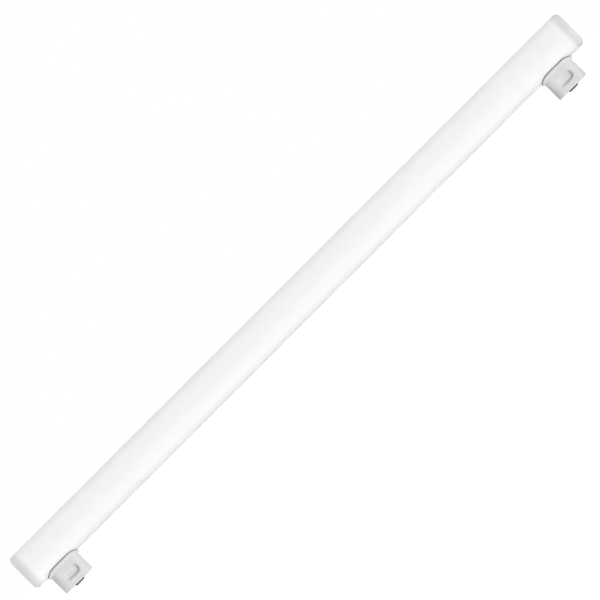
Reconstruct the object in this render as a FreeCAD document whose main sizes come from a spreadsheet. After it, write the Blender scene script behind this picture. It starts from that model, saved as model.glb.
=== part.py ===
import FreeCAD, Part
import math
import os
import Sketcher

# Opal tubular lamp with a base at each end of its underside.
#
# X runs along the tube, Z is up and both bases point down. Z = 0 is the outer
# face of the two contacts, on which the lamp stands, and X = 0, Y = 0 is the
# middle of the tube. A base and the pieces on it are drawn about their own
# middle and then placed along the tube.

# Driving dimensions in millimetres: name, size and what it is.
SIZES = (
    ("tube_length", 500.0, "closed tube, end to end"),
    ("tube_diameter", 26.8, "outside of the glass"),
    ("tube_end_radius", 3.3, "rounding between the wall and the flat ends"),
    ("left_overhang", 23.4, "left end of the tube to the middle of its base"),
    ("right_overhang", 26.2, "right end of the tube to the middle of its base"),
    ("base_drop", 15.4, "lowest line of the tube to the end face of a base"),
    ("base_length", 24.0, "base body along the tube"),
    ("base_width", 14.2, "base body across the tube"),
    ("base_corner_radius", 5.5, "upright corners of the base body"),
    ("base_end_chamfer", 0.8, "broken edge around the end face"),
    ("base_wall", 1.6, "side walls of the moulding"),
    ("base_end_wall", 2.2, "wall behind the end face"),
    ("cement_gap", 0.5, "between the tube and the saddle"),
    ("cement_inset", 0.1, "cement behind the rim of the lip"),
    ("cement_clearance", 0.3, "cement back from the mouth of the cavity"),
    ("lip_overhang", 1.35, "lip beyond the base body, all round"),
    ("lip_thickness", 0.9, "lip, measured towards the middle of the tube"),
    ("recess_offset", 0.25, "middle of a latch recess from the middle of the base, towards +X"),
    ("recess_rise", 7.8, "middle of the recess above the end face"),
    ("recess_depth", 2.6, "floor of the recess below the flank"),
    ("recess_floor_length", 9.1, "floor of the recess along the tube"),
    ("recess_floor_height", 4.0, "floor of the recess, upright"),
    ("recess_floor_radius", 1.6, "corners of the floor"),
    ("recess_slope", 1.5, "run of the sloping walls, from the floor to the mouth"),
    ("recess_backing", 1.3, "wall behind and around the recess"),
    ("contact_length", 7.7, "brass strip along the tube"),
    ("contact_width", 5.0, "brass strip across the tube"),
    ("contact_thickness", 0.95, "brass, and how far the strip stands out"),
    ("contact_bend_radius", 0.9, "outside of the two bends"),
    ("contact_edge_chamfer", 0.2, "broken edge around the outer face"),
    ("leg_width", 2.6, "legs of the contact, across the tube"),
    ("leg_rise", 1.3, "legs above the inside of the end wall"),
    ("leg_clearance", 0.1, "slot around each leg"),
    ("wire_diameter", 1.3, "insulated lead"),
)

# Largest distance, in millimetres, between a point and the curve that it is
# taken to lie on, and the least share of a solid that a feature has to change.
ON_CURVE = 0.01
LEAST_CHANGE = 1e-5


class Dim:
    """A length or a place: its expression in the document and its value."""

    def __init__(self, text, value):
        self.text = text
        self.value = value

    def join(self, sign, other, value):
        text = other.text if isinstance(other, Dim) else str(other)
        return Dim("(%s %s %s)" % (self.text, sign, text), value)

    def __add__(self, other):
        return self.join("+", other, self.value + other.value)

    def __sub__(self, other):
        return self.join("-", other, self.value - other.value)

    def __truediv__(self, number):
        return self.join("/", number, self.value / number)

    def __neg__(self):
        return Dim("(-%s)" % self.text, -self.value)


def make_sheet(doc):
    """Put the driving dimensions in the sheet and return one Dim for each."""
    sheet = doc.addObject("Spreadsheet::Sheet", "Sizes")
    for row, (name, size, meaning) in enumerate(SIZES, start=1):
        sheet.set("A%d" % row, meaning)
        sheet.set("B%d" % row, str(size))
        sheet.setAlias("B%d" % row, name)
    doc.recompute()
    return {name: Dim("Sizes.%s" % name, float(getattr(sheet, name))) for name, _, _ in SIZES}


def new_body(doc, label, x=None):
    """Start a sub-part, drawn about x on the tube where x is given."""
    body = doc.addObject("PartDesign::Body", label)
    body.Label = label
    if x is not None:
        body.setExpression("Placement.Base.x", x.text)
    return body


def origin_plane(body, role):
    return next(plane for plane in body.Origin.OriginFeatures if plane.Role == role)


def new_sketch(body, name, role, offset=None):
    """Sketch on one of the body's origin planes, offset along its normal."""
    sketch = body.newObject("Sketcher::SketchObject", name)
    sketch.AttachmentSupport = [(origin_plane(body, role), "")]
    sketch.MapMode = "FlatFace"
    if offset is not None:
        sketch.setExpression("AttachmentOffset.Base.z", offset.text)
    return sketch


def bind(sketch, kind, places, dim):
    index = sketch.addConstraint(Sketcher.Constraint(kind, *places, dim.value))
    sketch.setExpression("Constraints[%d]" % index, dim.text)


def put_point(sketch, kind, geometry, point, dim):
    """Fix a point's DistanceX or DistanceY from the sketch's origin."""
    if dim.value < 0:
        bind(sketch, kind, (geometry, point, -1, 1), -dim)
    else:
        bind(sketch, kind, (-1, 1, geometry, point), dim)


def line(x1, y1, x2, y2):
    return Part.LineSegment(FreeCAD.Vector(x1, y1, 0), FreeCAD.Vector(x2, y2, 0))


def arc(x, y, radius, start, end):
    """Arc about x, y from one angle to another, in degrees, anticlockwise."""
    circle = Part.Circle(FreeCAD.Vector(x, y, 0), FreeCAD.Vector(0, 0, 1), radius)
    return Part.ArcOfCircle(circle, math.radians(start), math.radians(end))


def draw_rectangle(sketch, left, right, low, high):
    x1, x2, y1, y2 = left.value, right.value, low.value, high.value
    sides = sketch.addGeometry(
        [line(x1, y1, x2, y1), line(x2, y1, x2, y2), line(x2, y2, x1, y2), line(x1, y2, x1, y1)]
    )
    for side, following in zip(sides, sides[1:] + sides[:1]):
        sketch.addConstraint(Sketcher.Constraint("Coincident", side, 2, following, 1))
    for side, direction in zip(sides, ("Horizontal", "Vertical", "Horizontal", "Vertical")):
        sketch.addConstraint(Sketcher.Constraint(direction, side))
    put_point(sketch, "DistanceX", sides[0], 1, left)
    put_point(sketch, "DistanceY", sides[0], 1, low)
    put_point(sketch, "DistanceX", sides[2], 1, right)
    put_point(sketch, "DistanceY", sides[2], 1, high)


def draw_rounded_rectangle(sketch, left, right, low, high, radius):
    """Rectangle with four equal round corners."""
    x1, x2, y1, y2, r = left.value, right.value, low.value, high.value, radius.value
    sides = sketch.addGeometry(
        [
            line(x1 + r, y1, x2 - r, y1),
            line(x2, y1 + r, x2, y2 - r),
            line(x2 - r, y2, x1 + r, y2),
            line(x1, y2 - r, x1, y1 + r),
        ]
    )
    corners = sketch.addGeometry(
        [
            arc(x2 - r, y1 + r, r, -90, 0),
            arc(x2 - r, y2 - r, r, 0, 90),
            arc(x1 + r, y2 - r, r, 90, 180),
            arc(x1 + r, y1 + r, r, 180, 270),
        ]
    )
    for side, corner, following in zip(sides, corners, sides[1:] + sides[:1]):
        sketch.addConstraint(Sketcher.Constraint("Tangent", side, 2, corner, 1))
        sketch.addConstraint(Sketcher.Constraint("Tangent", corner, 2, following, 1))
    for side, direction in zip(sides, ("Horizontal", "Vertical", "Horizontal", "Vertical")):
        sketch.addConstraint(Sketcher.Constraint(direction, side))
    for corner in corners[1:]:
        sketch.addConstraint(Sketcher.Constraint("Equal", corners[0], corner))
    bind(sketch, "Radius", (corners[0],), radius)
    put_point(sketch, "DistanceX", sides[1], 1, right)
    put_point(sketch, "DistanceX", sides[3], 1, left)
    put_point(sketch, "DistanceY", sides[0], 1, low)
    put_point(sketch, "DistanceY", sides[2], 1, high)


def draw_oblong(sketch, half_length, half_width, radius):
    """Rectangle about the sketch's origin, with four equal round corners."""
    draw_rounded_rectangle(sketch, -half_length, half_length, -half_width, half_width, radius)


def draw_circle(sketch, height, radius):
    """Circle with its middle on the sketch's upright axis, at a height above 0."""
    middle = FreeCAD.Vector(0, height.value, 0)
    circle = sketch.addGeometry(Part.Circle(middle, FreeCAD.Vector(0, 0, 1), radius.value))
    sketch.addConstraint(Sketcher.Constraint("PointOnObject", circle, 3, -2))
    put_point(sketch, "DistanceY", circle, 3, height)
    bind(sketch, "Radius", (circle,), radius)


def pad(body, name, sketch, length, both_ways=False):
    feature = body.newObject("PartDesign::Pad", name)
    feature.Profile = sketch
    feature.SideType = "Symmetric" if both_ways else "One side"
    feature.setExpression("Length", length.text)
    return feature


def cut_through(body, name, sketch, both_ways=False, upward=False):
    feature = body.newObject("PartDesign::Pocket", name)
    feature.Profile = sketch
    feature.Type = "ThroughAll"
    feature.SideType = "Symmetric" if both_ways else "One side"
    feature.Reversed = upward
    return feature


def cut_pocket(body, name, sketch, depth, upward=False):
    feature = body.newObject("PartDesign::Pocket", name)
    feature.Profile = sketch
    feature.Reversed = upward
    feature.setExpression("Length", depth.text)
    return feature


def break_edges(body, name, test, size):
    """Chamfer each edge of the body whose ends and middle all pass the test."""
    body.Document.recompute()
    base = body.Tip
    names = []
    for number, edge in enumerate(base.Shape.Edges, start=1):
        first, last = edge.ParameterRange
        points = [edge.valueAt(first + (last - first) * share) for share in (0.02, 0.5, 0.98)]
        if all(test(point) for point in points):
            names.append("Edge%d" % number)
    feature = body.newObject("PartDesign::Chamfer", name)
    feature.Base = (base, names)
    feature.setExpression("Size", size.text)
    return feature


def near(value, target):
    return abs(value - target) < ON_CURVE


def cut_round_tube(body, name, height, radius):
    """Cut away all that lies inside a cylinder about the tube's middle line."""
    sketch = new_sketch(body, name + "_outline", "YZ_Plane")
    draw_circle(sketch, height, radius)
    return cut_through(body, name, sketch, both_ways=True)


def keep_round_tube(body, name, height, radius, low, half_width):
    """Cut away all that lies outside a cylinder about the tube's middle line."""
    sketch = new_sketch(body, name + "_outline", "YZ_Plane")
    reach = radius + half_width
    draw_rectangle(sketch, -reach, reach, low, height + reach)
    draw_circle(sketch, height, radius)
    return cut_through(body, name, sketch, both_ways=True)


def make_tube(doc, dims, axis_height):
    """Closed opal tube: a straight wall, two flat ends and a round between them."""
    body = new_body(doc, "bulb_tube")
    body.setExpression("Placement.Base.z", axis_height.text)
    end = dims["tube_length"] / 2
    radius = dims["tube_diameter"] / 2
    corner = dims["tube_end_radius"]
    x, y, r = end.value, radius.value, corner.value
    sketch = new_sketch(body, "half_section", "XZ_Plane")
    middle, left, wall, right = sketch.addGeometry(
        [line(x, 0, -x, 0), line(-x, 0, -x, y - r), line(r - x, y, x - r, y), line(x, y - r, x, 0)]
    )
    left_round, right_round = sketch.addGeometry(
        [arc(r - x, y - r, r, 90, 180), arc(x - r, y - r, r, 0, 90)]
    )
    for joint in ((middle, 2, left, 1), (right, 2, middle, 1)):
        sketch.addConstraint(Sketcher.Constraint("Coincident", *joint))
    for joint in (
        (left, 2, left_round, 2),
        (left_round, 1, wall, 1),
        (wall, 2, right_round, 2),
        (right_round, 1, right, 1),
    ):
        sketch.addConstraint(Sketcher.Constraint("Tangent", *joint))
    for side, direction in ((left, "Vertical"), (wall, "Horizontal"), (right, "Vertical")):
        sketch.addConstraint(Sketcher.Constraint(direction, side))
    for point in (1, 2):
        sketch.addConstraint(Sketcher.Constraint("PointOnObject", middle, point, -1))
    sketch.addConstraint(Sketcher.Constraint("Equal", left_round, right_round))
    bind(sketch, "Radius", (left_round,), corner)
    put_point(sketch, "DistanceX", left, 1, -end)
    put_point(sketch, "DistanceX", right, 2, end)
    put_point(sketch, "DistanceY", wall, 1, radius)
    turned = body.newObject("PartDesign::Revolution", "turned_tube")
    turned.Profile = sketch
    turned.ReferenceAxis = (sketch, ["H_Axis"])
    turned.Angle = 360
    return body


def make_base(doc, label, x, dims, places):
    """Moulded base: a hollow body under a saddle lip, with a latch recess in each flank."""
    body = new_body(doc, label, x)
    end_face, axis_height = places["end_face"], places["axis_height"]
    half_length, half_width = dims["base_length"] / 2, dims["base_width"] / 2
    lip_half_length, lip_half_width = half_length + dims["lip_overhang"], half_width + dims["lip_overhang"]
    lip_corner = dims["base_corner_radius"] + dims["lip_overhang"]
    saddle_radius, lip_radius = places["saddle_radius"], places["lip_radius"]
    height = axis_height - end_face

    # The lip is a rounded oblong cut to a curved plate that follows the tube.
    outline = new_sketch(body, "lip_outline", "XY_Plane", end_face)
    draw_oblong(outline, lip_half_length, lip_half_width, lip_corner)
    pad(body, "lip_block", outline, height)
    keep_round_tube(body, "lip_underside", axis_height, lip_radius, -height, lip_half_width)

    # The body stands below the lip, and one saddle cut shapes the top of both.
    outline = new_sketch(body, "body_outline", "XY_Plane", end_face)
    draw_oblong(outline, half_length, half_width, dims["base_corner_radius"])
    pad(body, "base_block", outline, height)
    cut_round_tube(body, "saddle", axis_height, saddle_radius)

    def on_end_face(point):
        return near(point.z, end_face.value)

    break_edges(body, "end_face_edge", on_end_face, dims["base_end_chamfer"])

    # The cavity holds the lead and the legs of the contact.
    inner_half_length, inner_half_width = half_length - dims["base_wall"], half_width - dims["base_wall"]
    floor = end_face + dims["base_end_wall"]
    outline = new_sketch(body, "cavity_outline", "XY_Plane", floor)
    inner_corner = dims["base_corner_radius"] - dims["base_wall"]
    draw_oblong(outline, inner_half_length, inner_half_width, inner_corner)
    cut_through(body, "cavity", outline, upward=True)

    # The wall is thicker behind each recess, down to the cavity's floor.
    across, middle = dims["recess_offset"], end_face + dims["recess_rise"]
    floor_half_length, floor_half_height = dims["recess_floor_length"] / 2, dims["recess_floor_height"] / 2
    mouth_half_length = floor_half_length + dims["recess_slope"]
    mouth_half_height = floor_half_height + dims["recess_slope"]
    backing_half_length = mouth_half_length + dims["recess_backing"]
    backing_top = middle + mouth_half_height + dims["recess_backing"]
    backing_depth = dims["recess_depth"] + dims["recess_backing"]
    outline = new_sketch(body, "backing_outline", "XZ_Plane", half_width - backing_depth)
    backing_left, backing_right = across - backing_half_length, across + backing_half_length
    draw_rectangle(outline, backing_left, backing_right, floor - dims["base_end_wall"] / 2, backing_top)
    backing = pad(body, "recess_wall", outline, backing_depth - dims["base_wall"] / 2)

    # The recess narrows from its mouth in the flank to a smaller floor.
    mouth = new_sketch(body, "recess_mouth", "XZ_Plane", half_width)
    draw_rounded_rectangle(
        mouth, across - mouth_half_length, across + mouth_half_length,
        middle - mouth_half_height, middle + mouth_half_height,
        dims["recess_floor_radius"] + dims["recess_slope"]
    )
    recess_floor = new_sketch(body, "recess_floor", "XZ_Plane", half_width - dims["recess_depth"])
    draw_rounded_rectangle(
        recess_floor, across - floor_half_length, across + floor_half_length,
        middle - floor_half_height, middle + floor_half_height,
        dims["recess_floor_radius"]
    )
    recess = body.newObject("PartDesign::SubtractiveLoft", "recess")
    recess.Profile = mouth
    recess.Sections = [recess_floor]
    recess.Ruled = True
    both_flanks = body.newObject("PartDesign::Mirrored", "both_flanks")
    both_flanks.Originals = [backing, recess]
    both_flanks.MirrorPlane = (origin_plane(body, "XZ_Plane"), [""])
    body.Tip = both_flanks

    # One slot in the end wall for each leg of the contact.
    slots = new_sketch(body, "leg_slots", "XY_Plane", end_face)
    slot_half_width = dims["leg_width"] / 2 + dims["leg_clearance"]
    outer = dims["contact_length"] / 2 + dims["leg_clearance"]
    inner = places["leg_inside"] - dims["leg_clearance"]
    draw_rectangle(slots, inner, outer, -slot_half_width, slot_half_width)
    draw_rectangle(slots, -outer, -inner, -slot_half_width, slot_half_width)
    cut_pocket(body, "slots", slots, dims["base_end_wall"], upward=True)
    return body


def make_contact(doc, label, x, dims, places):
    """Brass strip on the end face, bent up at both ends into a leg."""
    body = new_body(doc, label, x)
    half_length, inside = dims["contact_length"] / 2, places["leg_inside"]
    thickness, bend, leg_top = dims["contact_thickness"], dims["contact_bend_radius"], places["leg_top"]
    x1, x2, y1, y2, r = half_length.value, inside.value, thickness.value, leg_top.value, bend.value
    profile = new_sketch(body, "strip_profile", "XZ_Plane")
    face, right, right_tip, right_inner, back, left_inner, left_tip, left = profile.addGeometry(
        [
            line(r - x1, 0, x1 - r, 0),
            line(x1, r, x1, y2),
            line(x1, y2, x2, y2),
            line(x2, y2, x2, y1),
            line(x2, y1, -x2, y1),
            line(-x2, y1, -x2, y2),
            line(-x2, y2, -x1, y2),
            line(-x1, y2, -x1, r),
        ]
    )
    right_bend, left_bend = profile.addGeometry([arc(x1 - r, r, r, -90, 0), arc(r - x1, r, r, 180, 270)])
    chain = (right, right_tip, right_inner, back, left_inner, left_tip, left)
    for side, following in zip(chain[:-1], chain[1:]):
        profile.addConstraint(Sketcher.Constraint("Coincident", side, 2, following, 1))
    for joint in (
        (face, 2, right_bend, 1),
        (right_bend, 2, right, 1),
        (left, 2, left_bend, 1),
        (left_bend, 2, face, 1),
    ):
        profile.addConstraint(Sketcher.Constraint("Tangent", *joint))
    for side in (right_tip, back, left_tip):
        profile.addConstraint(Sketcher.Constraint("Horizontal", side))
    for side in (right, right_inner, left_inner, left):
        profile.addConstraint(Sketcher.Constraint("Vertical", side))
    profile.addConstraint(Sketcher.Constraint("PointOnObject", face, 1, -1))
    profile.addConstraint(Sketcher.Constraint("Horizontal", face))
    profile.addConstraint(Sketcher.Constraint("Equal", right_bend, left_bend))
    bind(profile, "Radius", (right_bend,), bend)
    put_point(profile, "DistanceX", right, 2, half_length)
    put_point(profile, "DistanceX", left, 1, -half_length)
    put_point(profile, "DistanceX", back, 1, inside)
    put_point(profile, "DistanceX", back, 2, -inside)
    put_point(profile, "DistanceY", back, 1, thickness)
    put_point(profile, "DistanceY", right, 2, leg_top)
    put_point(profile, "DistanceY", left, 1, leg_top)
    pad(body, "strip", profile, dims["contact_width"], both_ways=True)

    # Above the end face only the narrow legs are left.
    half_width, leg_half_width = dims["contact_width"] / 2, dims["leg_width"] / 2
    waste = new_sketch(body, "leg_sides", "YZ_Plane")
    beyond = half_width + thickness
    draw_rectangle(waste, leg_half_width, beyond, thickness, leg_top + thickness)
    draw_rectangle(waste, -beyond, -leg_half_width, thickness, leg_top + thickness)
    cut_through(body, "legs", waste, both_ways=True)

    def on_outer_side(point):
        beside = abs(point.x) < half_length.value - ON_CURVE
        return near(abs(point.y), half_width.value) and beside and point.z < bend.value

    break_edges(body, "strip_edge", on_outer_side, dims["contact_edge_chamfer"])
    return body


def make_cement(doc, label, x, dims, places):
    """Ring of cement between the saddle and the tube, set back from both rims."""
    body = new_body(doc, label, x)
    axis_height, end_face = places["axis_height"], places["end_face"]
    back = dims["lip_overhang"] - dims["cement_inset"]
    half_length, half_width = dims["base_length"] / 2 + back, dims["base_width"] / 2 + back
    inward = dims["base_wall"] - dims["cement_clearance"]
    hole_half_length, hole_half_width = dims["base_length"] / 2 - inward, dims["base_width"] / 2 - inward
    ring = new_sketch(body, "ring_outline", "XY_Plane", end_face)
    draw_oblong(ring, half_length, half_width, dims["base_corner_radius"] + back)
    draw_oblong(ring, hole_half_length, hole_half_width, dims["base_corner_radius"] - inward)
    height = axis_height - end_face
    pad(body, "ring", ring, height)
    keep_round_tube(body, "saddle_side", axis_height, places["saddle_radius"], -height, half_width)
    cut_round_tube(body, "tube_side", axis_height, dims["tube_diameter"] / 2)
    return body


def make_lead(doc, label, x, dims, places):
    """Short insulated lead from the tube down to one leg of the contact."""
    body = new_body(doc, label, x)
    section = new_sketch(body, "lead_section", "XY_Plane", places["leg_top"])
    reach, radius = places["leg_middle"], dims["wire_diameter"] / 2
    middle = FreeCAD.Vector(reach.value, 0, 0)
    circle = section.addGeometry(Part.Circle(middle, FreeCAD.Vector(0, 0, 1), radius.value))
    section.addConstraint(Sketcher.Constraint("PointOnObject", circle, 3, -1))
    put_point(section, "DistanceX", circle, 3, reach)
    bind(section, "Radius", (circle,), radius)
    pad(body, "lead", section, places["tube_bottom"] - places["leg_top"])
    return body


def check_document(doc):
    """Stop if any object has failed or any feature has changed nothing."""
    volumes = {}
    for item in doc.Objects:
        if "Invalid" in item.State or "Error" in item.State:
            raise ValueError("%s has failed" % item.Name)
        if item.isDerivedFrom("PartDesign::Feature"):
            volumes[item.Name] = item.Shape.Volume
    for item in doc.Objects:
        base = getattr(item, "BaseFeature", None)
        if base is not None and item.Name in volumes:
            before, after = volumes[base.Name], volumes[item.Name]
            if abs(after - before) < LEAST_CHANGE * before:
                raise ValueError("%s changes nothing" % item.Name)


def check_piece(body):
    shape = body.Shape
    if shape.isNull() or not shape.isValid() or len(shape.Solids) != 1:
        raise ValueError("%s isn't one sound solid" % body.Label)
    return shape


def main():
    doc = FreeCAD.newDocument("TubularLamp")
    dims = make_sheet(doc)
    tube_radius = dims["tube_diameter"] / 2
    end_face = dims["contact_thickness"]
    tube_bottom = end_face + dims["base_drop"]
    leg_inside = dims["contact_length"] / 2 - dims["contact_thickness"]
    places = {
        "end_face": end_face,
        "tube_bottom": tube_bottom,
        "axis_height": tube_bottom + tube_radius,
        "saddle_radius": tube_radius + dims["cement_gap"],
        "lip_radius": tube_radius + dims["cement_gap"] + dims["lip_thickness"],
        "leg_inside": leg_inside,
        "leg_middle": leg_inside + dims["contact_thickness"] / 2,
        "leg_top": end_face + dims["base_end_wall"] + dims["leg_rise"],
    }
    half_tube = dims["tube_length"] / 2
    ends = (("left", dims["left_overhang"] - half_tube), ("right", half_tube - dims["right_overhang"]))
    bodies = [make_tube(doc, dims, places["axis_height"])]
    for side, x in ends:
        bodies.append(make_base(doc, "base_" + side, x, dims, places))
        bodies.append(make_contact(doc, "contact_" + side, x, dims, places))
        bodies.append(make_cement(doc, "cement_" + side, x, dims, places))
        bodies.append(make_lead(doc, "lead_wire_" + side, x, dims, places))
    doc.recompute()
    check_document(doc)
    shapes = {body.Label: check_piece(body) for body in bodies}
    os.makedirs("parts", exist_ok=True)
    for label, shape in shapes.items():
        shape.exportStep("parts/%s.step" % label)
        box = shape.optimalBoundingBox(False)
        print(
            "%-16s %10.2f mm3  x %8.2f %8.2f  y %6.2f %6.2f  z %6.2f %6.2f"
            % (label, shape.Volume, box.XMin, box.XMax, box.YMin, box.YMax, box.ZMin, box.ZMax)
        )


main()
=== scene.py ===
import math
from itertools import product

import bpy
from mathutils import Matrix, Vector


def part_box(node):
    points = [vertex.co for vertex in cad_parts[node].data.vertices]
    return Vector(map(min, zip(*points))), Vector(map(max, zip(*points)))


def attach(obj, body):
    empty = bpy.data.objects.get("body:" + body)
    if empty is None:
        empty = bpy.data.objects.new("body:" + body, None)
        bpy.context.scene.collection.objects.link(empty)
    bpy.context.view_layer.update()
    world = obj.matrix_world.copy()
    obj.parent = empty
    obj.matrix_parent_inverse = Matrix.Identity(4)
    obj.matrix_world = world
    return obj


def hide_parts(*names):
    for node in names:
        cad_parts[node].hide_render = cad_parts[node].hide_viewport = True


# Looks of an opal tubular lamp with a side base near each end. All sizes are in
# metres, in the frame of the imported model: X along the tube, Z up, and Z = 0 at
# the outer faces of the two contacts. All angles are in degrees.

MM = 0.001

# Angles from which an edge is shown sharp, and from which the contact's edges
# get a bevel.
TUBE_SHARP_ANGLE = 60
SHARP_ANGLE = 40
BEVEL_ANGLE = 30

# Tube. Its length, thickness and height come from the frame.
TUBE_END_ROUND = 3.3 * MM
TUBE_STEPS_AROUND = 192
TUBE_STEPS_ALONG = 100
TUBE_ROUND_STEPS = 16
TUBE_FACE_STEPS = 12

# Base. Its length, width, middle and end face come from the frame.
LIP_OVERHANG = 1.35 * MM
LIP_THICKNESS = 0.9 * MM
LIP_HOLLOW = 0.45 * MM
LIP_EDGE_ROUND = 0.2 * MM
CEMENT_GAP = 0.5 * MM
BASE_CORNER = 5.5 * MM
BASE_EDGE_ROUND = 1.0 * MM
BASE_WALL = 1.6 * MM
BASE_END_WALL = 2.2 * MM
RECESS_OFFSET = 0.25 * MM
RECESS_RISE = 7.8 * MM
RECESS_DEPTH = 2.6 * MM
RECESS_FLOOR_LENGTH = 9.1 * MM
RECESS_FLOOR_HEIGHT = 4.0 * MM
RECESS_FLOOR_CORNER = 1.6 * MM
RECESS_SLOPE = 1.5 * MM
RECESS_EDGE_ROUND = 0.35 * MM
RECESS_BACKING = 1.3 * MM
FLANK_STEPS = 104
FLANK_ROW = 0.125 * MM
CORNER_STEPS = 12
END_STEPS = 12
ROUND_STEPS = 6
PLAIN_ROWS = 6

# A place belongs to a flank where its outward direction has more than this
# share across the lamp.
FLANK_SHARE = 0.5

# Contact. Its length, width and height come from the frame.
STRIP_THICKNESS = 0.95 * MM
STRIP_BEND = 0.9 * MM
STRIP_BEND_STEPS = 8
STRIP_EDGE_BEVEL = 0.14 * MM
STRIP_BEVEL_STEPS = 3
LEG_WIDTH = 2.6 * MM
LEG_CLEARANCE = 0.1 * MM

# In the materials below, clouds, smears, grain, tarnish, lines and lumps are
# noise, in spots to a metre, and depths are those of their bumps.

# Opal glass: its grey levels, the grey of the shade painted on its ends and where
# that painted shade starts and is full, as distances from the end, and how far light goes in.
OPAL_WALL_GREYS = (0.925, 0.935)
OPAL_END_SHADE_GREY = 0.72
OPAL_END_SHADE_START = 8 * MM
OPAL_END_SHADE_FULL = 3 * MM
OPAL_CLOUDS = 40.0
OPAL_SMEARS = 900.0
OPAL_ROUGHNESS = (0.42, 0.5)
OPAL_LIGHT_REACH = 3 * MM
OPAL_GRAIN = 2500.0
OPAL_GRAIN_DEPTH = 0.003 * MM
GLASS_IOR = 1.5

# Moulded plastic. It shares its weak gloss with the opal glass.
PLASTIC_GREYS = (0.71, 0.735)
PLASTIC_CLOUDS = 220.0
PLASTIC_SMEARS = 3000.0
PLASTIC_ROUGHNESS = (0.42, 0.55)
PLASTIC_GRAIN = 6000.0
PLASTIC_GRAIN_DEPTH = 0.008 * MM
WEAK_GLOSS = 0.2

# Brass: bright and tarnished, on the face and on the sheared edge, where it is
# also rougher, and how far inside the rim the edge's look is full.
BRASS_FACE = ((0.58, 0.44, 0.20, 1), (0.40, 0.29, 0.12, 1))
BRASS_EDGE = ((0.09, 0.042, 0.0, 1), (0.055, 0.026, 0.0, 1))
BRASS_EDGE_INSET = 0.02 * MM
BRASS_ROUGHNESS = (0.24, 0.38)
BRASS_EDGE_ROUGHER = 0.15
BRASS_TARNISH = 500.0
BRASS_TARNISH_RANGE = (0.35, 0.7)
BRASS_LINES = 900.0
BRASS_LINE_DEPTH = 0.01 * MM
BRASS_LINE_STRETCH = (0.15, 1, 1)

# Cement, and the sleeve of the lead: its grey levels and how warm each is.
CEMENT_GREYS = (0.13, 0.18)
CEMENT_ROUGHNESS = 0.75
CEMENT_LUMPS = 900.0
CEMENT_LUMP_DEPTH = 0.05 * MM
SLEEVE_GREYS = ((0.8, 0.03), (0.86, 0.02))
SLEEVE_ROUGHNESS = 0.5
SLEEVE_LINES = 2500.0
SLEEVE_LINE_DEPTH = 0.01 * MM
SLEEVE_LINE_STRETCH = (1, 1, 0.05)

# The photograph: a square frame seen exactly from the side, with the lamp
# turned 45 degrees in it. The view's middle is given along and above the lamp.
FRAME_WIDTH = 387.2 * MM
VIEW_MIDDLE_X = 2.0 * MM
VIEW_MIDDLE_Z = 28.65 * MM
CAMERA_DISTANCE = 16.0
CAMERA_CLIP = (0.1, 100.0)
SENSOR_WIDTH = 36.0

# Studio: the even light of the room, the table's colour and how brightly it
# glows where it is seen, and the lamps: name, azimuth, elevation, spread and
# strength.
AMBIENT = 0.1
FLOOR_HALF_WIDTH = 30.0
FLOOR_COLOUR = 0.8
FLOOR_ROUGHNESS = 0.9
FLOOR_GLOW_SEEN = 0.5
LAMPS = (
    ("left_top_lamp", -95, 57, 45, 1.75),
    ("right_top_lamp", 65, 57, 45, 0.7),
    ("right_lamp", 35, -10, 40, 1.17),
    ("key_lamp", 20, -19, 35, 0.77),
    ("left_lamp", -95, -20, 50, 0.52),
    ("back_lamp", 180, -5, 15, 0.8),
)


def mesh_object(name, points, faces, sharp_angle=SHARP_ANGLE):
    """Mesh piece with smooth faces, split where they meet at a sharper angle."""
    mesh = bpy.data.meshes.new(name)
    mesh.from_pydata(points, [], faces)
    mesh.validate()
    mesh.shade_smooth()
    mesh.set_sharp_from_angle(angle=math.radians(sharp_angle))
    piece = bpy.data.objects.new(name, mesh)
    bpy.context.scene.collection.objects.link(piece)
    return piece


def rings_to_faces(ring_count, ring_length):
    """Quads between rings that follow each other and run in the same order."""
    faces = []
    for ring in range(ring_count - 1):
        start = ring * ring_length
        for place in range(ring_length):
            following = (place + 1) % ring_length
            faces.append(
                (
                    start + place,
                    start + following,
                    start + ring_length + following,
                    start + ring_length + place,
                )
            )
    return faces


def quarter_round(steps):
    """Sine and cosine pairs from 0 to 90 degrees."""
    angles = [math.pi / 2 * step / steps for step in range(steps + 1)]
    return [(math.sin(angle), math.cos(angle)) for angle in angles]


def apply_modifiers(piece):
    """Keep what the piece's modifiers make as its own mesh."""
    graph = bpy.context.evaluated_depsgraph_get()
    mesh = bpy.data.meshes.new_from_object(piece.evaluated_get(graph))
    piece.modifiers.clear()
    piece.data = mesh


def make_block(name, low, high):
    """Plain block between two corners, to be cut out of a piece or joined to it."""
    points = list(product(*zip(low, high)))
    faces = [(0, 1, 3, 2), (4, 6, 7, 5), (0, 4, 5, 1), (2, 3, 7, 6), (0, 2, 6, 4), (1, 5, 7, 3)]
    return mesh_object(name, points, faces)


def combine(piece, block, operation):
    """Cut a block out of the piece, or join it on, and remove the block."""
    change = piece.modifiers.new(block.name, "BOOLEAN")
    change.operation = operation
    change.solver = "EXACT"
    change.object = block
    apply_modifiers(piece)
    bpy.data.objects.remove(block)


def tube_profile(half_length, radius):
    """Half section of the tube, from the middle of one end to the middle of the other.

    Its points are the place along the tube and the distance from the axis, without
    the two middles.
    """
    flat = radius - TUBE_END_ROUND
    straight = half_length - TUBE_END_ROUND
    end = [(half_length, flat * step / TUBE_FACE_STEPS) for step in range(1, TUBE_FACE_STEPS)]
    end += [
        (straight + TUBE_END_ROUND * cosine, flat + TUBE_END_ROUND * sine)
        for sine, cosine in quarter_round(TUBE_ROUND_STEPS)
    ]
    wall = [
        (straight - 2 * straight * step / TUBE_STEPS_ALONG, radius)
        for step in range(1, TUBE_STEPS_ALONG)
    ]
    return end + wall + [(-x, distance) for x, distance in reversed(end)]


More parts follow.
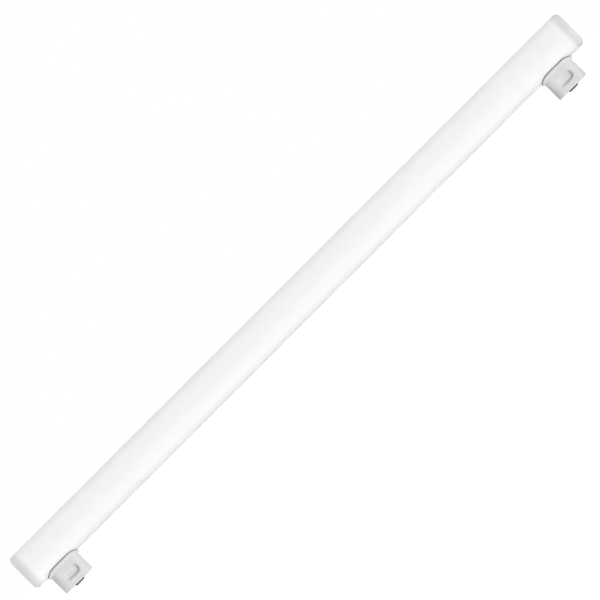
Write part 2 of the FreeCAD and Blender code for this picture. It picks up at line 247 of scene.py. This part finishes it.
def make_tube():
    """Closed tube, turned from its profile."""
    low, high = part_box("bulb_tube")
    half_length = (high.x - low.x) / 2
    radius = (high.z - low.z) / 2
    axis_height = (high.z + low.z) / 2
    profile = tube_profile(half_length, radius)
    points = []
    for x, distance in profile:
        for step in range(TUBE_STEPS_AROUND):
            turn = 2 * math.pi * step / TUBE_STEPS_AROUND
            points.append((x, distance * math.cos(turn), axis_height + distance * math.sin(turn)))
    faces = rings_to_faces(len(profile), TUBE_STEPS_AROUND)
    last_ring = len(points) - TUBE_STEPS_AROUND
    points.append((half_length, 0, axis_height))
    points.append((-half_length, 0, axis_height))
    first_middle, last_middle = len(points) - 2, len(points) - 1
    for step in range(TUBE_STEPS_AROUND):
        following = (step + 1) % TUBE_STEPS_AROUND
        faces.append((first_middle, following, step))
        faces.append((last_middle, last_ring + step, last_ring + following))
    tube = mesh_object("opal_tube", points, faces, TUBE_SHARP_ANGLE)
    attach(tube, "root")
    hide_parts("bulb_tube")
    return tube


def core_outline(half_length, half_width):
    """Points around a rectangle, anticlockwise, each with its outward direction.

    A corner gives several points at one place, which turn from one side to the next.
    """
    outline = []
    corners = ((1, 1, 0), (-1, 1, 90), (-1, -1, 180), (1, -1, 270))
    for side_x, side_y, start in corners:
        corner_x, corner_y = side_x * half_length, side_y * half_width
        for step in range(CORNER_STEPS):
            angle = math.radians(start + 90 * step / CORNER_STEPS)
            outline.append((corner_x, corner_y, math.cos(angle), math.sin(angle)))
        turned = math.radians(start + 90)
        along_x, along_y = math.cos(turned), math.sin(turned)
        flank = abs(along_y) > FLANK_SHARE
        steps = FLANK_STEPS if flank else END_STEPS
        for step in range(steps):
            share = 1 - 2 * step / steps
            x = corner_x * share if flank else corner_x
            y = corner_y if flank else corner_y * share
            outline.append((x, y, along_x, along_y))
    return outline


def soft_top(value, soft):
    """The larger of value and 0, with a round between the two."""
    if value <= -soft:
        return 0
    if value >= soft:
        return value
    return (value + soft) ** 2 / (4 * soft)


def recess_depth(x, height):
    """Depth of the latch recess at a place on the flank, from the recess's own middle."""
    out_x = abs(x) - (RECESS_FLOOR_LENGTH / 2 - RECESS_FLOOR_CORNER)
    out_z = abs(height) - (RECESS_FLOOR_HEIGHT / 2 - RECESS_FLOOR_CORNER)
    past_corner = math.hypot(max(out_x, 0), max(out_z, 0))
    outside = past_corner + min(max(out_x, out_z), 0) - RECESS_FLOOR_CORNER
    slope = RECESS_DEPTH * (1 - outside / RECESS_SLOPE)
    soft = RECESS_EDGE_ROUND / 2
    rounded = soft_top(slope, soft)
    return RECESS_DEPTH - soft_top(RECESS_DEPTH - rounded, soft)


def make_base(side):
    """Moulded base, built up in rings from its end face over the lip into its cavity."""
    low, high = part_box("base_" + side)
    tube_low, tube_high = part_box("bulb_tube")
    axis_height = (tube_low.z + tube_high.z) / 2
    saddle = (tube_high.z - tube_low.z) / 2 + CEMENT_GAP
    lip_radius = saddle + LIP_THICKNESS
    middle_x = (low.x + high.x) / 2
    end_face = low.z
    half_length = (high.x - low.x) / 2 - LIP_OVERHANG
    half_width = (high.y - low.y) / 2 - LIP_OVERHANG
    outline = core_outline(half_length - BASE_CORNER, half_width - BASE_CORNER)
    recess_height = end_face + RECESS_RISE
    mouth_half_height = RECESS_FLOOR_HEIGHT / 2 + RECESS_SLOPE
    rings = []

    def add_ring(spread, height):
        """Ring at a distance outside the core; height is a function of y, or a number."""
        ring = []
        for x, y, out_x, out_y in outline:
            place_y = y + spread * out_y
            z = height(place_y) if callable(height) else height
            ring.append((middle_x + x + spread * out_x, place_y, z))
        rings.append(ring)

    def under_lip(y):
        return axis_height - math.sqrt(lip_radius**2 - y**2)

    def on_saddle(y):
        return axis_height - math.sqrt(saddle**2 - y**2)

    # End face and the round at its edge.
    add_ring(BASE_CORNER - BASE_EDGE_ROUND, end_face)
    for sine, cosine in quarter_round(ROUND_STEPS)[1:]:
        add_ring(
            BASE_CORNER - BASE_EDGE_ROUND * (1 - sine),
            end_face + BASE_EDGE_ROUND * (1 - cosine),
        )

    # Flanks and ends, with close rows over the height of the recess.
    recess_low = recess_height - mouth_half_height - RECESS_EDGE_ROUND
    recess_high = recess_height + mouth_half_height + RECESS_EDGE_ROUND
    recess_span = recess_high - recess_low
    start = end_face + BASE_EDGE_ROUND
    heights = [start + (recess_low - start) * row / PLAIN_ROWS for row in range(1, PLAIN_ROWS)]
    close_rows = round(recess_span / FLANK_ROW)
    heights += [recess_low + recess_span * row / close_rows for row in range(close_rows + 1)]
    for height in heights:
        ring = []
        for x, y, out_x, out_y in outline:
            plain_x = x + BASE_CORNER * out_x - RECESS_OFFSET
            on_flank = abs(out_y) > FLANK_SHARE
            depth = recess_depth(plain_x, height - recess_height) if on_flank else 0
            spread = BASE_CORNER - depth
            ring.append((middle_x + x + spread * out_x, y + spread * out_y, height))
        rings.append(ring)
    for row in range(1, PLAIN_ROWS):
        share = row / PLAIN_ROWS
        add_ring(
            BASE_CORNER,
            lambda y, share=share: recess_high + (under_lip(y) - LIP_HOLLOW - recess_high) * share,
        )

    # Hollow under the lip, the lip's edge and the saddle that faces the tube.
    for sine, cosine in quarter_round(ROUND_STEPS):
        add_ring(
            BASE_CORNER + LIP_HOLLOW * (1 - cosine),
            lambda y, sine=sine: under_lip(y) - LIP_HOLLOW * (1 - sine),
        )
    lip_spread = BASE_CORNER + LIP_OVERHANG
    for sine, cosine in quarter_round(ROUND_STEPS):
        add_ring(
            lip_spread - LIP_EDGE_ROUND * (1 - sine),
            lambda y, cosine=cosine: under_lip(y) + LIP_EDGE_ROUND * (1 - cosine),
        )
    for sine, cosine in quarter_round(ROUND_STEPS):
        add_ring(
            lip_spread - LIP_EDGE_ROUND * (1 - cosine),
            lambda y, sine=sine: on_saddle(y) - LIP_EDGE_ROUND * (1 - sine),
        )
    mouth_spread = BASE_CORNER - BASE_WALL
    saddle_edge = lip_spread - LIP_EDGE_ROUND
    for row in range(1, PLAIN_ROWS + 1):
        add_ring(saddle_edge + (mouth_spread - saddle_edge) * row / PLAIN_ROWS, on_saddle)

    # Cavity, with a thicker wall behind each recess.
    cavity_floor = end_face + BASE_END_WALL
    backing_top = recess_height + mouth_half_height + RECESS_BACKING
    backing_half_length = RECESS_FLOOR_LENGTH / 2 + RECESS_SLOPE + RECESS_BACKING
    backing_face = half_width - RECESS_DEPTH - RECESS_BACKING
    add_ring(mouth_spread, backing_top)
    for height in (backing_top, cavity_floor):
        ring = []
        for x, y, out_x, out_y in outline:
            inner_x, inner_y = x + mouth_spread * out_x, y + mouth_spread * out_y
            if abs(inner_x - RECESS_OFFSET) < backing_half_length:
                inner_y = max(-backing_face, min(backing_face, inner_y))
            ring.append((middle_x + inner_x, inner_y, height))
        rings.append(ring)

    count = len(outline)
    points = [point for ring in rings for point in ring]
    faces = rings_to_faces(len(rings), count)
    faces.append(tuple(reversed(range(count))))
    faces.append(tuple(range(len(points) - count, len(points))))
    base = mesh_object("moulded_base_" + side, points, faces)
    cut_leg_slots(base, side, cavity_floor)
    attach(base, "root")
    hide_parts("base_" + side)
    return base


def cut_leg_slots(base, side, cavity_floor):
    """Cut one slot in the end wall for each leg of the contact."""
    low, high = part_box("contact_" + side)
    half_width = LEG_WIDTH / 2 + LEG_CLEARANCE
    inner = STRIP_THICKNESS + LEG_CLEARANCE
    for left, right in (
        (low.x - LEG_CLEARANCE, low.x + inner),
        (high.x - inner, high.x + LEG_CLEARANCE),
    ):
        slot = make_block(
            "slot",
            (left, -half_width, low.z),
            (right, half_width, cavity_floor + STRIP_THICKNESS),
        )
        combine(base, slot, "DIFFERENCE")
    base.data.set_sharp_from_angle(angle=math.radians(SHARP_ANGLE))


def make_contact(side):
    """Brass strip, bent up at both ends into narrower legs."""
    low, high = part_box("contact_" + side)
    middle_x = (low.x + high.x) / 2
    half_length, half_width = (high.x - low.x) / 2, (high.y - low.y) / 2
    strip_top = low.z + STRIP_THICKNESS
    bend = [
        (half_length - STRIP_BEND * (1 - sine), low.z + STRIP_BEND * (1 - cosine))
        for sine, cosine in quarter_round(STRIP_BEND_STEPS)
    ]
    half_profile = bend + [(half_length, strip_top)]
    profile = half_profile + [(-x, z) for x, z in reversed(half_profile)]
    points = [(middle_x + x, y, z) for y in (-half_width, half_width) for x, z in profile]
    count = len(profile)
    faces = [tuple(range(count)), tuple(reversed(range(count, 2 * count)))]
    for place in range(count):
        following = (place + 1) % count
        faces.append((place, count + place, count + following, following))
    contact = mesh_object("brass_contact_" + side, points, faces)
    leg_half_width = LEG_WIDTH / 2
    inner = half_length - STRIP_THICKNESS
    for start, end in ((-half_length, -inner), (inner, half_length)):
        leg = make_block(
            "leg",
            (middle_x + start, -leg_half_width, strip_top - STRIP_THICKNESS / 2),
            (middle_x + end, leg_half_width, high.z),
        )
        combine(contact, leg, "UNION")
    bevel = contact.modifiers.new("edges", "BEVEL")
    bevel.width = STRIP_EDGE_BEVEL
    bevel.segments = STRIP_BEVEL_STEPS
    bevel.limit_method = "ANGLE"
    bevel.angle_limit = math.radians(BEVEL_ANGLE)
    apply_modifiers(contact)
    contact.data.shade_smooth()
    contact.data.set_sharp_from_angle(angle=math.radians(SHARP_ANGLE))
    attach(contact, "root")
    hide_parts("contact_" + side)
    return contact


class Material:
    """A node material on one Principled shader, with short calls for its nodes."""

    def __init__(self, name):
        self.material = bpy.data.materials.new(name)
        self.material.use_nodes = True
        self.tree = self.material.node_tree
        self.shader = self.tree.nodes["Principled BSDF"]

    def node(self, kind, settings=None, **inputs):
        made = self.tree.nodes.new(kind)
        for name, value in (settings or {}).items():
            setattr(made, name, value)
        for name, value in inputs.items():
            self.put(made, name.replace("_", " "), value)
        return made

    def put(self, node, name, value):
        """Set an input, or link an output to it."""
        socket = node.inputs[int(name) if name.isdigit() else name]
        if isinstance(value, bpy.types.NodeSocket):
            self.tree.links.new(value, socket)
        else:
            socket.default_value = value

    def shade(self, name, value):
        self.put(self.shader, name, value)

    def place(self):
        """Position in the lamp's own frame, in metres."""
        return self.node("ShaderNodeTexCoord").outputs["Object"]

    def from_middle(self, axis):
        """Distance from the middle of the lamp along an axis."""
        axes = self.node("ShaderNodeSeparateXYZ", Vector=self.place())
        return self.math("ABSOLUTE", axes.outputs[axis])

    def noise(self, scale, detail=2.0, stretch=(1, 1, 1)):
        """Noise from 0 to 1 with this many spots to a metre."""
        mapped = self.node("ShaderNodeMapping", Vector=self.place(), Scale=stretch)
        noise = self.node(
            "ShaderNodeTexNoise", Vector=mapped.outputs[0], Scale=scale, Detail=detail
        )
        return noise.outputs[0]

    def ramp(self, value, low=0.3, high=0.7, low_out=0.0, high_out=1.0):
        """Smooth change from one value to another, by default over a noise's middle range."""
        made = self.node("ShaderNodeMapRange", {"interpolation_type": "SMOOTHSTEP"})
        for name, number in (
            ("Value", value),
            ("From Min", low),
            ("From Max", high),
            ("To Min", low_out),
            ("To Max", high_out),
        ):
            self.put(made, name, number)
        return made.outputs["Result"]

    def between(self, noise, values):
        """A noise's middle range spread between two values."""
        return self.ramp(noise, low_out=values[0], high_out=values[1])

    def math(self, operation, first, second=0.0):
        made = self.node("ShaderNodeMath", {"operation": operation})
        self.put(made, "0", first)
        self.put(made, "1", second)
        return made.outputs[0]

    def mix(self, share, first, second):
        """Colour between two colours."""
        made = self.node("ShaderNodeMix", {"data_type": "RGBA"})
        for place, value in ((0, share), (6, first), (7, second)):
            self.put(made, str(place), value)
        return made.outputs[2]

    def bump(self, height, distance):
        made = self.node("ShaderNodeBump", Height=height, Distance=distance)
        self.shade("Normal", made.outputs[0])


def grey(value, warm=0.0):
    """Neutral colour, or one a little warmer, with full cover."""
    return (value, value * (1 - warm / 2), value * (1 - warm), 1.0)


def opal_glass():
    """Satin opal glass, with shade painted into its colour over the last millimetres at each end.
    """
    made = Material("opal_glass")
    low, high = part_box("bulb_tube")
    end = (high.x - low.x) / 2
    # Painted shade: the colour darkens towards each end of the tube, over its last millimetres.
    painted_end_shade = made.ramp(made.from_middle("X"), end - OPAL_END_SHADE_START, end - OPAL_END_SHADE_FULL)
    clouds = made.ramp(made.noise(OPAL_CLOUDS))
    wall = made.mix(clouds, *map(grey, OPAL_WALL_GREYS))
    made.shade("Base Color", made.mix(painted_end_shade, wall, grey(OPAL_END_SHADE_GREY)))
    made.shade("Roughness", made.between(made.noise(OPAL_SMEARS), OPAL_ROUGHNESS))
    made.shade("IOR", GLASS_IOR)
    made.shade("Specular IOR Level", WEAK_GLOSS)
    made.shade("Subsurface Weight", 1.0)
    made.shade("Subsurface Radius", (1, 1, 1))
    made.shade("Subsurface Scale", OPAL_LIGHT_REACH)
    made.bump(made.noise(OPAL_GRAIN, detail=3.0), OPAL_GRAIN_DEPTH)
    return made.material


def base_plastic():
    """Pale grey moulded plastic with a fine eroded grain."""
    made = Material("base_plastic")
    clouds = made.ramp(made.noise(PLASTIC_CLOUDS))
    made.shade("Base Color", made.mix(clouds, *map(grey, PLASTIC_GREYS)))
    made.shade("Roughness", made.between(made.noise(PLASTIC_SMEARS), PLASTIC_ROUGHNESS))
    made.shade("Specular IOR Level", WEAK_GLOSS)
    made.bump(made.noise(PLASTIC_GRAIN, detail=4.0), PLASTIC_GRAIN_DEPTH)
    return made.material


def contact_brass():
    """Stamped brass: a burnished face and a darker sheared edge."""
    made = Material("contact_brass")
    low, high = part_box("contact_left")
    rim = (high.y - low.y) / 2
    edge = made.ramp(made.from_middle("Y"), rim - STRIP_EDGE_BEVEL, rim - BRASS_EDGE_INSET)
    drawn = made.noise(BRASS_LINES, detail=3.0, stretch=BRASS_LINE_STRETCH)
    tarnish = made.ramp(made.noise(BRASS_TARNISH, detail=4.0), *BRASS_TARNISH_RANGE)
    face = made.mix(tarnish, *BRASS_FACE)
    sheared = made.mix(made.ramp(drawn), *BRASS_EDGE)
    made.shade("Base Color", made.mix(edge, face, sheared))
    made.shade("Metallic", 1.0)
    rougher = made.math("MULTIPLY", edge, BRASS_EDGE_ROUGHER)
    made.shade("Roughness", made.math("ADD", made.between(drawn, BRASS_ROUGHNESS), rougher))
    made.bump(drawn, BRASS_LINE_DEPTH)
    return made.material


def cement_finish():
    """Matt grey silicone with a slightly lumpy skin."""
    made = Material("cement")
    lumps = made.noise(CEMENT_LUMPS, detail=3.0)
    made.shade("Base Color", made.mix(made.ramp(lumps), *map(grey, CEMENT_GREYS)))
    made.shade("Roughness", CEMENT_ROUGHNESS)
    made.bump(lumps, CEMENT_LUMP_DEPTH)
    return made.material


def lead_insulation():
    """Off-white sleeve of the lead, with a faint drawn line."""
    made = Material("lead_insulation")
    lines = made.noise(SLEEVE_LINES, stretch=SLEEVE_LINE_STRETCH)
    made.shade("Base Color", made.mix(lines, *(grey(*level) for level in SLEEVE_GREYS)))
    made.shade("Roughness", SLEEVE_ROUGHNESS)
    made.bump(lines, SLEEVE_LINE_DEPTH)
    return made.material


def give(piece, material):
    """Make this the piece's only material."""
    piece.data.materials.clear()
    piece.data.materials.append(material)


def dress_lamp():
    """Make every piece and give each one, and each node that stays, its material."""
    give(make_tube(), opal_glass())
    plastic, brass = base_plastic(), contact_brass()
    cement, lead = cement_finish(), lead_insulation()
    for side in ("left", "right"):
        give(make_base(side), plastic)
        give(make_contact(side), brass)
        give(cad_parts["cement_" + side], cement)
        give(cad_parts["lead_wire_" + side], lead)


def make_camera():
    """Side view along +Y from far off, rolled so that the lamp rises to the right."""
    camera_data = bpy.data.cameras.new("camera")
    camera_data.sensor_width = SENSOR_WIDTH
    camera_data.lens = SENSOR_WIDTH * CAMERA_DISTANCE / FRAME_WIDTH
    camera_data.clip_start, camera_data.clip_end = CAMERA_CLIP
    camera = bpy.data.objects.new("camera", camera_data)
    bpy.context.scene.collection.objects.link(camera)
    right, up, back = Vector((1, 0, -1)), Vector((1, 0, 1)), Vector((0, -1, 0))
    turn = Matrix((right.normalized(), up.normalized(), back)).transposed().to_4x4()
    place = Matrix.Translation((VIEW_MIDDLE_X, -CAMERA_DISTANCE, VIEW_MIDDLE_Z))
    camera.matrix_world = place @ turn
    bpy.context.scene.camera = camera


def seen_directly(tree):
    """Share that is 1 for what is seen, straight or in metal and glass, and 0 for soft light."""
    path = tree.nodes.new("ShaderNodeLightPath")
    share = path.outputs["Is Camera Ray"]
    for name in ("Is Glossy Ray", "Is Transmission Ray"):
        either = tree.nodes.new("ShaderNodeMath")
        either.operation = "MAXIMUM"
        tree.links.new(share, either.inputs[0])
        tree.links.new(path.outputs[name], either.inputs[1])
        share = either.outputs[0]
    return share


def make_world():
    """White where it is seen, and a low even light elsewhere."""
    world = bpy.data.worlds.new("studio")
    bpy.context.scene.world = world
    world.use_nodes = True
    tree = world.node_tree
    strength = tree.nodes.new("ShaderNodeMapRange")
    strength.inputs["To Min"].default_value = AMBIENT
    strength.inputs["To Max"].default_value = 1.0
    tree.links.new(seen_directly(tree), strength.inputs["Value"])
    background = tree.nodes["Background"]
    background.inputs["Color"].default_value = grey(1.0)
    tree.links.new(strength.outputs["Result"], background.inputs["Strength"])


def make_floor():
    """Pale table, which glows only where it is seen.

    Lamps shine up through it, and it can't be seen from below.
    """
    size = FLOOR_HALF_WIDTH
    corners = [(-size, -size, 0), (size, -size, 0), (size, size, 0), (-size, size, 0)]
    floor = mesh_object("floor", corners, [(0, 1, 2, 3)])
    made = Material("floor")
    made.shade("Base Color", grey(FLOOR_COLOUR))
    made.shade("Roughness", FLOOR_ROUGHNESS)
    made.shade("Specular IOR Level", 0.0)
    made.shade("Emission Color", grey(1.0))
    glow = made.math("MULTIPLY", seen_directly(made.tree), FLOOR_GLOW_SEEN)
    made.shade("Emission Strength", glow)
    behind = made.node("ShaderNodeNewGeometry").outputs["Backfacing"]
    shadow = made.node("ShaderNodeLightPath").outputs["Is Shadow Ray"]
    clear = made.node("ShaderNodeBsdfTransparent")
    either = made.node("ShaderNodeMixShader")
    made.put(either, "0", made.math("MAXIMUM", behind, shadow))
    made.put(either, "1", made.shader.outputs[0])
    made.put(either, "2", clear.outputs[0])
    made.tree.links.new(either.outputs[0], made.tree.nodes["Material Output"].inputs["Surface"])
    give(floor, made.material)


def make_lamp(name, azimuth, elevation, spread, strength):
    """Soft lamp far away. Azimuth 0 is the camera's side and 90 the lamp's right end."""
    light = bpy.data.lights.new(name, "SUN")
    light.angle = math.radians(spread)
    light.energy = strength
    # All its light then comes by shadow rays, which pass the table.
    light.cycles.use_multiple_importance_sampling = False
    lamp = bpy.data.objects.new(name, light)
    bpy.context.scene.collection.objects.link(lamp)
    around, above = math.radians(azimuth), math.radians(elevation)
    place = Vector(
        (math.sin(around) * math.cos(above), -math.cos(around) * math.cos(above), math.sin(above))
    )
    lamp.rotation_euler = (-place).to_track_quat("-Z", "Y").to_euler()


def make_studio():
    """Room light, table and lamps."""
    make_world()
    make_floor()
    for lamp in LAMPS:
        make_lamp(*lamp)


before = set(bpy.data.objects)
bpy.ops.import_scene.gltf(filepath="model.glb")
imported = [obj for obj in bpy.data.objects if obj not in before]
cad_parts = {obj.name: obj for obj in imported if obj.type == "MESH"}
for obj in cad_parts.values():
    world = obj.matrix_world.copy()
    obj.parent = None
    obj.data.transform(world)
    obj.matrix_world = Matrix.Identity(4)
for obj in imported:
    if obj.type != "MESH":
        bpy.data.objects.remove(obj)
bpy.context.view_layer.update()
bpy.context.scene.view_settings.view_transform = "Standard"
dress_lamp()
make_camera()
make_studio()
